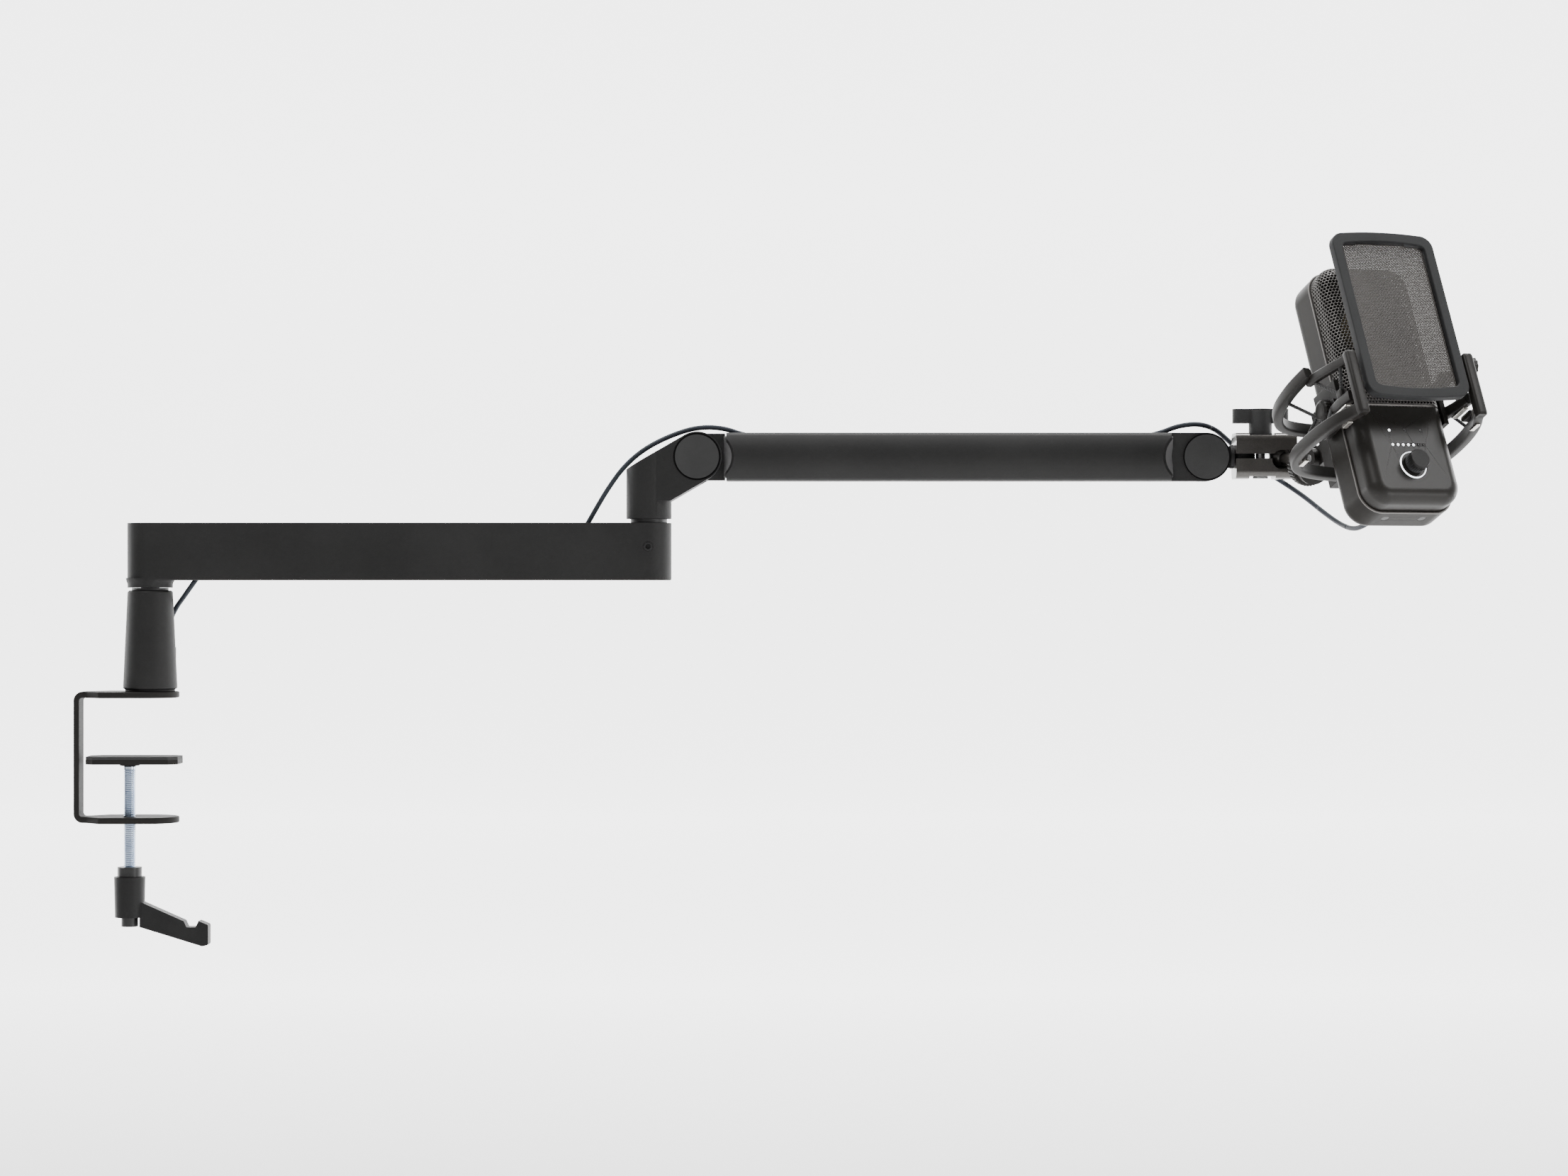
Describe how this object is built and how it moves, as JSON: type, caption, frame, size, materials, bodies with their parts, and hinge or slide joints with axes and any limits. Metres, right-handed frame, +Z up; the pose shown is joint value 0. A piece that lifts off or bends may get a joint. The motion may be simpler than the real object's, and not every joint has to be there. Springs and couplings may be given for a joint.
{
  "type": "boom arm microphone",
  "caption": "Side-address condenser microphone in a shock mount with a pop shield, on a low two-segment boom arm with a screw desk clamp.",
  "frame": {"origin": "on the riser post's axis, at the underside of the desk clamp's top plate, where it rests on the desk", "axes": "+X along the stretched arm to the microphone, +Z up, -Y to the side that the microphone faces"},
  "size_m": [0.8925, 0.2203, 0.4539],
  "materials": {
    "bracket_paint": "semi-gloss",
    "arm_coat": "matte",
    "cap_coat": "matte",
    "zinc_steel": "bright",
    "pin_steel": "satin",
    "black_steel": "satin",
    "pad_rubber": "matte",
    "nylon": "matte",
    "handle_plastic": "matte",
    "gunmetal": "gloss",
    "mount_plastic": "satin",
    "elastic": "matte",
    "clip_metal": "satin",
    "shell_coat": "satin",
    "grille_steel": "satin",
    "capsule_gold": "satin",
    "frame_plastic": "matte",
    "board": "satin",
    "light": "gloss",
    "knob_plastic": "satin",
    "socket_metal": "bright",
    "pop_frame": "satin",
    "pop_mesh": "satin",
    "cable_jacket": "satin",
    "plug_plastic": "satin"
  },
  "bodies": {
    "clamp": {"clamp_bracket": "bracket_paint", "riser_post": "arm_coat", "post_spindle": "pin_steel", "post_washer": "nylon", "cable_tail": "cable_jacket", "cable_hank": "cable_jacket", "cable_end_plug": "plug_plastic"},
    "pad": {"pad_plate": "bracket_paint", "pad_rubber": "pad_rubber"},
    "screw": {"clamp_screw": "zinc_steel", "handle_insert": "black_steel"},
    "lever": {"handle_lever": "handle_plastic"},
    "lower_arm": {"lower_arm_beam": "arm_coat", "cable_cover": "arm_coat", "arm_bushings": "nylon", "tension_screw": "black_steel", "cable_in_lower_arm": "cable_jacket"},
    "elbow": {"elbow_bracket": "arm_coat", "elbow_spindle": "pin_steel", "elbow_washer": "nylon", "elbow_caps": "cap_coat", "elbow_pivot_bolt": "pin_steel", "cable_elbow_arc": "cable_jacket"},
    "upper_arm": {"upper_arm_tube": "arm_coat", "root_knuckle": "arm_coat", "tip_fork": "arm_coat", "tip_caps": "cap_coat", "tip_pivot_bolt": "pin_steel", "cable_in_upper_arm": "cable_jacket"},
    "wrist": {"wrist_knuckle": "arm_coat"},
    "ball_clamp": {"socket_upper": "gunmetal", "socket_lower": "gunmetal", "socket_nut": "pin_steel", "cable_mic_loop": "cable_jacket"},
    "clamp_knob": {"t_knob": "handle_plastic", "t_knob_stud": "pin_steel"},
    "stud": {"ball_stud": "gunmetal"},
    "ring": {"lock_ring": "mount_plastic"},
    "hub": {"mount_hub": "mount_plastic"},
    "shock_frame": {"mount_frame": "mount_plastic", "tilt_bolt": "pin_steel", "anchor_clips": "clip_metal", "elastic_cords": "elastic"},
    "microphone": {"mount_cradle": "mount_plastic", "rear_shell": "shell_coat", "front_panel": "shell_coat", "grille": "grille_steel", "capsule": "capsule_gold", "capsule_mount": "frame_plastic", "circuit_board": "board", "rear_sockets": "socket_metal", "indicator_lights": "light", "housing_screws": "black_steel", "mic_plug": "plug_plastic"},
    "thumb_left": {"thumb_screw_left": "mount_plastic"},
    "thumb_right": {"thumb_screw_right": "mount_plastic"},
    "encoder": {"encoder_shaft": "knob_plastic"},
    "gain_dial": {"gain_knob": "knob_plastic"},
    "pop_shield": {"pop_frame": "pop_frame", "pop_mesh": "pop_mesh"}
  },
  "joints": [
    {"name": "pad_travel", "type": "slide", "parent": "clamp", "child": "pad", "axis": [0, 0, 1], "range_m": [-0.03, 0.028]},
    {"name": "screw_turn", "type": "hinge", "parent": "pad", "child": "screw", "pos_m": [-0.0134, 0, -0.08], "axis": [0, 0, 1], "range_deg": [-8611.2, 8035.2]},
    {"name": "lever_pull", "type": "slide", "parent": "screw", "child": "lever", "axis": [0, 0, -1], "range_m": [0, 0.004], "stiffness_N_per_m": 800, "springref_m": -0.004},
    {"name": "base_swivel", "type": "hinge", "parent": "clamp", "child": "lower_arm", "pos_m": [0, 0, 0.09], "axis": [0, 0, 1], "range_deg": [-170, 170], "deforming": ["cable_tail"]},
    {"name": "elbow_swivel", "type": "hinge", "parent": "lower_arm", "child": "elbow", "pos_m": [0.3257, 0, 0.11], "axis": [0, 0, 1], "range_deg": [-135, 135], "deforming": ["cable_elbow_arc"]},
    {"name": "elbow_pitch", "type": "hinge", "parent": "elbow", "child": "upper_arm", "pos_m": [0.3574, 0, 0.1569], "axis": [0, -1, 0], "range_deg": [-15, 70]},
    {"name": "wrist_pitch", "type": "hinge", "parent": "upper_arm", "child": "wrist", "pos_m": [0.6889, 0, 0.1569], "axis": [0, -1, 0], "range_deg": [-75, 75], "deforming": ["cable_mic_loop"]},
    {"name": "clamp_roll", "type": "hinge", "parent": "wrist", "child": "ball_clamp", "pos_m": [0.714, 0, 0.1572], "axis": [1, 0, 0], "range_deg": [-90, 90]},
    {"name": "knob_turn", "type": "hinge", "parent": "ball_clamp", "child": "clamp_knob", "pos_m": [0.725, 0, 0.175], "axis": [0, 0, 1], "range_deg": [0, 360]},
    {"name": "ball_pan", "type": "hinge", "parent": "ball_clamp", "child": "stud", "pos_m": [0.738, 0, 0.1572], "axis": [0, 0, 1], "range_deg": [-20, 20]},
    {"name": "ring_turn", "type": "hinge", "parent": "stud", "child": "ring", "pos_m": [0.75062, -0.0331, 0.15078], "axis": [0.3507, -0.9194, -0.1783], "continuous": true},
    {"name": "mount_spin", "type": "hinge", "parent": "stud", "child": "hub", "pos_m": [0.75273, -0.03861, 0.14971], "axis": [0.3507, -0.9194, -0.1783], "range_deg": [-45, 45]},
    {"name": "mount_tilt", "type": "hinge", "parent": "hub", "child": "shock_frame", "pos_m": [0.75731, -0.04987, 0.15395], "axis": [0.9272, 0.3746, 0], "range_deg": [-30, 30]},
    {"name": "suspension", "type": "slide", "parent": "shock_frame", "child": "microphone", "axis": [-0.1553, 0.3845, 0.91], "range_m": [-0.0015, 0.0015], "stiffness_N_per_m": 9000},
    {"name": "thumb_left_turn", "type": "hinge", "parent": "microphone", "child": "thumb_left", "pos_m": [0.78331, -0.11423, 0.18009], "axis": [-0.9272, -0.3746, 0], "range_deg": [0, 360]},
    {"name": "thumb_right_turn", "type": "hinge", "parent": "microphone", "child": "thumb_right", "pos_m": [0.78331, -0.11423, 0.18009], "axis": [0.9272, 0.3746, 0], "range_deg": [0, 360]},
    {"name": "dial_press", "type": "slide", "parent": "microphone", "child": "encoder", "axis": [-0.3409, 0.8437, -0.4147], "range_m": [0, 0.0006], "stiffness_N_per_m": 3000, "springref_m": -0.0006},
    {"name": "dial_turn", "type": "hinge", "parent": "encoder", "child": "gain_dial", "pos_m": [0.79726, -0.14875, 0.14662], "axis": [0.3409, -0.8437, 0.4147], "continuous": true},
    {"name": "pop_pull", "type": "slide", "parent": "shock_frame", "child": "pop_shield", "axis": [0.3409, -0.8437, 0.4147], "range_m": [0, 0.03]}
  ],
  "couplings": [
    {"joint": "pad_travel", "follows": "screw_turn", "m_per_rad": 0.00019894}
  ]
}
